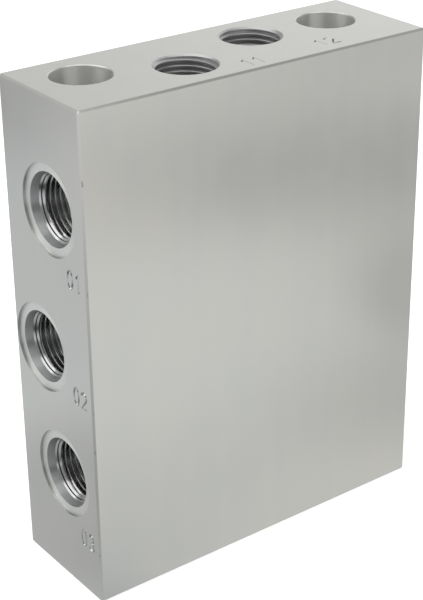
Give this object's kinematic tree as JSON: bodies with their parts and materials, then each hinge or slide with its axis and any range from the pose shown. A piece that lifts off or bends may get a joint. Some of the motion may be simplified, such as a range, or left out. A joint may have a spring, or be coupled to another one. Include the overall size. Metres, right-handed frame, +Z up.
{
  "type": "hydraulic manifold block",
  "caption": "Rectangular metal block that joins threaded hydraulic ports in one end to threaded ports and plain bores in the top through drilled passages.",
  "frame": {"origin": "middle of the bottom face", "axes": "+Z up, -X out of the end face with the three threaded ports, +Y towards the plain back face"},
  "size_m": [0.1334, 0.0444, 0.1683],
  "materials": {
    "block_metal": "satin machined and tumbled"
  },
  "bodies": {
    "root": {"manifold_block": "block_metal"}
  },
  "joints": []
}
